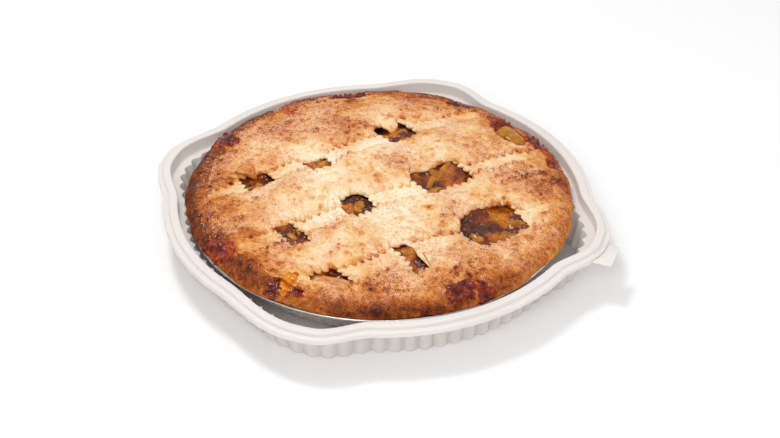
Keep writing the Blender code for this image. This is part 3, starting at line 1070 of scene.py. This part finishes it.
def plastic_tray(finish):
    """The tray: a fluted well, a flat ledge and a beaded rim with a skirt; its pull tab is made
    apart.
    """
    mesh = spun_mesh("tray_moulded", tray_profile(), 960)
    points = points_of(mesh)
    radius = np.hypot(points[:, 0], points[:, 1])
    angle = np.arctan2(points[:, 1], points[:, 0])
    outline = lobe(angle)
    rim_nominal = RIM_LOWEST * TRAY_RADIUS
    well_nominal = WELL_FACTOR * TRAY_RADIUS
    share = WELL_FACTOR + WELL_LOBE_SHARE * (outline - RIM_LOWEST)
    flute = FLUTE_DEPTH * (1.0 - np.abs(np.cos(FLUTES / 2 * angle)) ** 0.9)
    well = radius + TRAY_RADIUS * share - well_nominal - flute
    rim = radius + TRAY_RADIUS * outline - rim_nominal
    on_rim = smooth_step(radius, well_nominal + 0.9 * MM, rim_nominal - 0.6 * MM)
    on_wall = smooth_step(radius, well_nominal - 20 * MM, well_nominal - 3.5 * MM)
    placed = radius + (well - radius) * on_wall
    placed = placed * (1.0 - on_rim) + rim * on_rim
    scale = placed / np.maximum(radius, 0.01 * MM)
    points[:, 0] *= scale
    points[:, 1] *= scale
    set_points(mesh, points)
    return add_piece("tray_moulded", mesh, finish, ("tray",))


def pull_tab(finish):
    """The flat tab on the skirt of one lobe, with rounded outer corners."""
    work = bmesh.new()
    bmesh.ops.create_cube(work, size=1.0)
    size = Vector((TAB_END - TAB_START, TAB_WIDTH, TAB_THICK))
    bmesh.ops.scale(work, vec=size, verts=work.verts)
    outward = []
    for edge in work.edges:
        first, second = (vert.co for vert in edge.verts)
        if abs(first.z - second.z) > TAB_THICK / 2 and first.x > 0:
            outward.append(edge)
    bmesh.ops.bevel(
        work, geom=outward, offset=1.6 * MM, offset_type="OFFSET", affect="EDGES",
        segments=5, profile=0.5, material=-1,
    )
    bmesh.ops.bevel(
        work, geom=work.edges[:], offset=0.2 * MM, offset_type="OFFSET", affect="EDGES",
        segments=2, profile=0.5, material=-1,
    )
    middle = Vector(((TAB_END + TAB_START) / 2, 0.0, TRAY_TOP - TAB_DROP))
    place = Matrix.Rotation(TAB_TURN, 4, "Z") @ Matrix.Translation(middle)
    bmesh.ops.transform(work, matrix=place, verts=work.verts)
    return add_piece("tray_pull_tab", mesh_of("tray_pull_tab", work), finish)


# ---------------------------------------------------------------- jam and sugar on top

def surface_tree(pieces):
    """A search tree over the outside of the given pieces."""
    work = bmesh.new()
    for piece in pieces:
        work.from_mesh(piece.data)
    tree = BVHTree.FromBMesh(work)
    work.free()
    return tree


def jam_spot(tree, rng, spot):
    """A glossy puddle hugging the crust's edge, as a small closed mesh."""
    turn, lift, half_round, half_over, thick, dark = spot
    mesh = grid_mesh("jam", 44, 44)
    unit = points_of(mesh)[:, :2]
    square = np.maximum(np.abs(unit[:, 0]), np.abs(unit[:, 1]))
    length = np.maximum(np.hypot(*unit.T), 1e-9)
    disc = unit / length[:, None] * square[:, None]
    angle = np.arctan2(disc[:, 1], disc[:, 0])
    shift = rng.uniform(0, 9)
    ring = np.stack([np.cos(angle) + shift, np.sin(angle) + shift], axis=1)
    outline = 1.0 + 0.32 * lumps(ring, 0.6, 5) + 0.22 * lumps(ring, 0.25, 6)
    placed = disc * outline[:, None]
    dome_share = np.sqrt(np.clip(1.0 - square ** 2, 0.0, 1.0))
    spread = placed * np.array([half_round, half_over]) * MM + shift * MM
    bubbles = blisters(spread, 3.0 * MM, 9, 0.75)
    rolling = 1.0 + 0.45 * lumps(spread, 4.5 * MM, 12)
    raised = (0.55 * thick * rolling + 1.7 * bubbles) * MM * dome_share - 0.35 * MM
    points = np.empty((len(unit), 3))
    for index, (around, over) in enumerate(placed):
        heading = math.radians(turn) + around * half_round * MM / EDGE_MIDDLE[0]
        climb = math.radians(lift) + over * half_over * MM / JAM_BEND
        side = Vector((math.cos(heading), math.sin(heading), 0.0))
        outward = side * math.cos(climb) + Vector((0, 0, math.sin(climb)))
        core = side * JAM_CORE[0] + Vector((0, 0, JAM_CORE[1]))
        if climb > math.pi / 2:
            core = core - side * (climb - math.pi / 2) * JAM_BEND
            outward = Vector((0, 0, 1))
        hit = tree.ray_cast(core + outward * 30 * MM, -outward)[0]
        hit = hit if hit is not None else core + outward * 10 * MM
        points[index] = hit + outward * raised[index]
    set_points(mesh, points)
    deep = dark * (0.4 + 0.6 * dome_share) + 0.25 * lumps(placed + shift, 0.5, 13)
    paint(mesh, "deep", deep)
    close_under(mesh, lambda point: Vector((point.x * 0.97, point.y * 0.97, point.z - 1.5 * MM)))
    return mesh


def jam_spots(tree, finish):
    """All the jam that boiled over, as one piece."""
    rng = random.Random(11)
    made = [jam_spot(tree, rng, spot) for spot in JAM_SPOTS]
    return add_piece("jam_boiled_over", join_meshes("jam_boiled_over", made), finish)


def sugar_crystals(tree, finish):
    """Coarse sugar baked on to the top: small blocks at true size."""
    rng = random.Random(21)
    wanted = CRYSTALS
    work = bmesh.new()
    bmesh.ops.create_cube(work, size=1.0)
    grain = mesh_of("grain", work)
    corners = points_of(grain)
    batches, batch, count = [], bmesh.new(), 0
    while count < wanted:
        reach = 107 * MM * math.sqrt(rng.random())
        heading = rng.uniform(0, FULL_TURN)
        x, y = reach * math.cos(heading), reach * math.sin(heading)
        cover = sugar_cover(np.array([[x, y]]), UPPER)[0]
        if rng.random() > cover * (1.0 - 0.75 * (reach > 90 * MM)):
            continue
        hit, normal, _, _ = tree.ray_cast(Vector((x, y, 0.1)), Vector((0, 0, -1)))
        if hit is None or hit.z < dome(reach) - 4.2 * MM - 6 * MM * (reach > 100 * MM):
            continue
        size = rng.uniform(*CRYSTAL_SIZES)
        angle = rng.uniform(0, FULL_TURN)
        turn = Matrix.Rotation(angle, 3, (rng.uniform(-1, 1), rng.uniform(-1, 1), 1.0))
        before = len(batch.verts)
        batch.from_mesh(grain)
        batch.verts.ensure_lookup_table()
        stretch = Vector((1.0, rng.uniform(0.7, 1.0), rng.uniform(0.6, 0.9)))
        for index in range(8):
            corner = Vector(corners[index]) * size * stretch
            batch.verts[before + index].co = hit + normal * 0.15 * size + turn @ corner
        count += 1
        if count % 500 == 0:
            batches.append(mesh_of("grains", batch))
            batch = bmesh.new()
    batches.append(mesh_of("grains", batch))
    return add_piece("sugar_crystals", join_meshes("sugar_crystals", batches), finish)


# ---------------------------------------------------------------- finishes

def pastry_finish(grain):
    """Baked dough: pale cream to dark brown by its baking and by painted shade, with sugar melted
    into it.
    """
    finish = Finish("baked_pastry", Specular_IOR_Level=0.13)
    baked_and_shade = finish.attribute("baked_and_shade")
    sugar = finish.attribute("sugar")
    mottle = finish.maths("SUBTRACT", finish.noise(330, 4, 0.6), 0.5)
    fine = finish.maths("SUBTRACT", finish.noise(1200, 3, 0.6), 0.5)
    marks = finish.times(finish.span(finish.noise(250, 3, 0.65, 0.4), 0.56, 0.66), 0.13)
    spread = finish.plus(finish.times(mottle, 0.45), finish.times(fine, 0.45))
    spread = finish.times(finish.plus(spread, marks), finish.span(baked_and_shade, 0.10, 0.50, 0.55, 1.20))
    specks = finish.group(grain, Place=finish.place, Scale=1500.0, Share=0.62)
    sparkle = finish.times(finish.maths("SUBTRACT", specks.outputs["Shade"], 0.5), sugar)
    level = finish.plus(finish.plus(baked_and_shade, spread), finish.times(sparkle, 0.26))
    dough = finish.ramp(level, (
        (0.00, linear(247, 233, 202)), (0.12, linear(243, 218, 174)), (0.26, linear(235, 192, 135)),
        (0.40, linear(223, 157, 89)), (0.54, linear(200, 118, 52)), (0.68, linear(164, 84, 32)),
        (0.82, linear(116, 52, 20)), (1.00, linear(58, 25, 12)),
    ))
    frost = finish.ramp(level, (
        (0.00, linear(255, 243, 232)), (0.25, linear(254, 226, 207)), (0.45, linear(246, 202, 176)),
        (0.70, linear(210, 147, 114)), (1.00, linear(132, 81, 60)),
    ))
    cover = finish.times(sugar, finish.span(finish.noise(240, 4, 0.6), 0.38, 0.60))
    speckled = finish.plus(finish.times(specks.outputs["Mask"], 0.75), 0.22)
    white = finish.maths("MULTIPLY", speckled, cover, clamp=True)
    finish.colour(finish.mix(white, dough, frost))
    finish.rough(finish.span(white, 0.0, 0.7, 0.62, 0.38))
    soft = finish.bump(finish.noise(650, 4, 0.65), 0.7, 0.0008)
    finish.normal(finish.bump(specks.outputs["Mask"], 0.35, 0.0005, soft))
    return finish.material


def syrup_finish():
    """Amber syrup over dark caramel, wet and glossy."""
    finish = Finish("apple_syrup", Specular_IOR_Level=0.38)
    deep = finish.attribute("deep")
    level = finish.plus(finish.times(finish.noise(260, 3, 0.55), 0.5), finish.times(deep, 0.6))
    finish.colour(finish.ramp(level, (
        (0.14, linear(204, 124, 22)), (0.34, linear(164, 84, 8)), (0.50, linear(106, 40, 3)),
        (0.80, linear(54, 18, 2)),
    )))
    finish.rough(finish.span(finish.noise(500, 2), 0.3, 0.7, 0.04, 0.12))
    finish.normal(finish.bump(finish.noise(310, 2, 0.45), 0.85, 0.0014))
    return finish.material


def apple_finish(name, pale, dark):
    """Soft cooked apple, glazed with syrup."""
    finish = Finish(name, Specular_IOR_Level=0.38)
    fibres = finish.noise(330, 4, 0.6, 0.8)
    patches = finish.noise(230, 2, 0.5)
    level = finish.plus(finish.times(fibres, 0.5), finish.times(patches, 0.6))
    finish.colour(finish.ramp(level, ((0.38, pale), (0.70, dark))))
    finish.rough(finish.span(fibres, 0.3, 0.7, 0.04, 0.13))
    finish.normal(finish.bump(patches, 0.7, 0.0013))
    return finish.material


def jam_finish():
    """Apple jam boiled down on the crust: dark red-brown where thick, amber at its edge."""
    finish = Finish("boiled_jam", Specular_IOR_Level=0.33)
    level = finish.plus(finish.noise(330, 3, 0.6), finish.times(finish.attribute("deep"), 0.38))
    finish.colour(finish.ramp(level, (
        (0.40, linear(222, 136, 14)), (0.58, linear(180, 74, 3)), (0.76, linear(126, 34, 0)),
        (0.96, linear(62, 10, 0)),
    )))
    finish.rough(finish.span(finish.noise(700, 2), 0.3, 0.7, 0.03, 0.08))
    finish.normal(finish.bump(finish.noise(300, 2, 0.45), 0.8, 0.0014))
    return finish.material


def sugar_finish():
    """Clear to amber sugar, with some faces dull."""
    finish = Finish("sugar_crystal")
    tint = finish.noise(90, 2, 0.5)
    finish.colour(finish.ramp(tint, ((0.3, linear(247, 222, 200)), (0.7, linear(222, 172, 134)))))
    finish.rough(finish.span(finish.noise(900, 2), 0.3, 0.7, 0.10, 0.35))
    return finish.material


def foil_finish():
    """Thin aluminium, bright where it is flat and duller where it is creased."""
    finish = Finish("crimped_foil", metallic=1.0)
    creases = finish.noise(220, 4, 0.6)
    finish.colour(finish.ramp(creases, ((0.3, linear(226, 223, 219)), (0.7, linear(248, 246, 243)))))
    finish.rough(finish.span(finish.noise(130, 3), 0.3, 0.7, 0.20, 0.42))
    finish.normal(finish.bump(creases, 0.25, 0.0005))
    return finish.material


def plastic_finish():
    """Warm off-white moulded plastic with a faint orange peel and scuffs."""
    finish = Finish("tray_plastic", Subsurface_Weight=0.4, Subsurface_Scale=0.003)
    finish.shader.inputs["Subsurface Radius"].default_value = (1.0, 0.95, 0.88)
    cloud = finish.noise(14, 3, 0.5)
    finish.colour(finish.ramp(cloud, ((0.3, linear(220, 213, 208)), (0.7, linear(225, 218, 213)))))
    finish.rough(finish.span(finish.noise(60, 5, 0.65), 0.3, 0.7, 0.34, 0.50))
    finish.normal(finish.bump(finish.noise(900, 2), 0.08, 0.0003))
    return finish.material


# ---------------------------------------------------------------- stage

def place_camera():
    """A long lens at the front, looking down on the tray."""
    view = bpy.data.cameras.new("camera")
    view.lens = CAMERA_LENS
    view.sensor_width = 36.0
    view.shift_x, view.shift_y = CAMERA_SHIFT
    camera = bpy.data.objects.new("camera", view)
    bpy.context.scene.collection.objects.link(camera)
    back = CAMERA_DISTANCE * math.cos(CAMERA_ELEVATION)
    up = CAMERA_DISTANCE * math.sin(CAMERA_ELEVATION)
    tilt = Matrix.Rotation(math.pi / 2 - CAMERA_ELEVATION, 4, "X")
    roll = Matrix.Rotation(CAMERA_ROLL, 4, "Z")
    camera.matrix_world = Matrix.Translation((0.0, -back, TRAY_TOP + up)) @ tilt @ roll
    bpy.context.scene.camera = camera


def area_light(name, place, size, power):
    """A square soft light, turned to face the pie."""
    light = bpy.data.lights.new(name, "AREA")
    light.size = size
    light.energy = power
    lamp = bpy.data.objects.new(name, light)
    bpy.context.scene.collection.objects.link(lamp)
    lamp.location = place
    towards = Vector((0, 0, 0.02)) - Vector(place)
    lamp.rotation_euler = towards.to_track_quat("-Z", "Y").to_euler()


def studio():
    """A pale floor under soft, even light."""
    work = bmesh.new()
    bmesh.ops.create_grid(work, x_segments=1, y_segments=1, size=6.0)
    mesh = mesh_of("floor", work)
    floor = bpy.data.objects.new("floor", mesh)
    bpy.context.scene.collection.objects.link(floor)
    finish = Finish("floor_white", roughness=0.8)
    finish.shader.inputs["Base Color"].default_value = (0.92, 0.92, 0.92, 1.0)
    mesh.materials.append(finish.material)
    world = bpy.data.worlds.new("studio")
    world.use_nodes = True
    nodes, links = world.node_tree.nodes, world.node_tree.links
    facing = nodes.new("ShaderNodeSeparateXYZ")
    links.new(nodes.new("ShaderNodeTexCoord").outputs["Generated"], facing.inputs["Vector"])
    rising = nodes.new("ShaderNodeMapRange")
    rising.inputs["From Min"].default_value = 0.0
    rising.inputs["To Min"].default_value = 0.54
    rising.inputs["To Max"].default_value = 0.69
    links.new(facing.outputs["Z"], rising.inputs["Value"])
    links.new(rising.outputs["Result"], nodes["Background"].inputs["Strength"])
    nodes["Background"].inputs["Color"].default_value = (1.0, 1.0, 1.0, 1.0)
    bpy.context.scene.world = world
    area_light("key", (-0.24, 0.22, 0.88), 0.20, 2.8)
    area_light("fill", (0.95, -0.10, 0.50), 0.7, 1.5)
    area_light("front", (-0.15, -0.95, 0.75), 0.6, 4.9)
    bpy.context.scene.view_settings.view_transform = "Standard"


def main():
    """Sets the stage, then makes every piece; jam and sugar go on last, over the pastry."""
    place_camera()
    studio()
    grain = grain_group()
    pastry = pastry_finish(grain)
    plastic = plastic_finish()
    syrup = syrup_finish()
    cooked = apple_finish("cooked_apple", linear(202, 136, 28), linear(132, 64, 8))
    bare = apple_finish("bare_apple", linear(198, 134, 14), linear(150, 82, 4))
    pie = [crust_edge(pastry)]
    for index in range(4):
        names = (f"upper_strip_{index + 1}", f"strip_a_{index + 1}")
        pie.append(pastry_strip(*names, UPPER, index, pastry))
    for index in range(4):
        names = (f"lower_strip_{index + 1}", f"strip_b_{index + 1}")
        pie.append(pastry_strip(*names, LOWER, index, pastry))
    pastry_flap("pale_flap", (4.0, 64.5), -60.0, 9 * MM, 10 * MM, 0.4 * MM, 0.12, pastry)
    pastry_flap("golden_curl", (-83.0, 15.0), -28.0, 13 * MM, 10 * MM, 2.6 * MM, 0.44, pastry)
    filling_bed(syrup)
    apple_lumps(cooked)
    bare_slice(bare)
    foil_tin(foil_finish())
    plastic_tray(plastic)
    pull_tab(plastic)
    tree = surface_tree(pie)
    jam_spots(tree, jam_finish())
    sugar_crystals(tree, sugar_finish())


main()
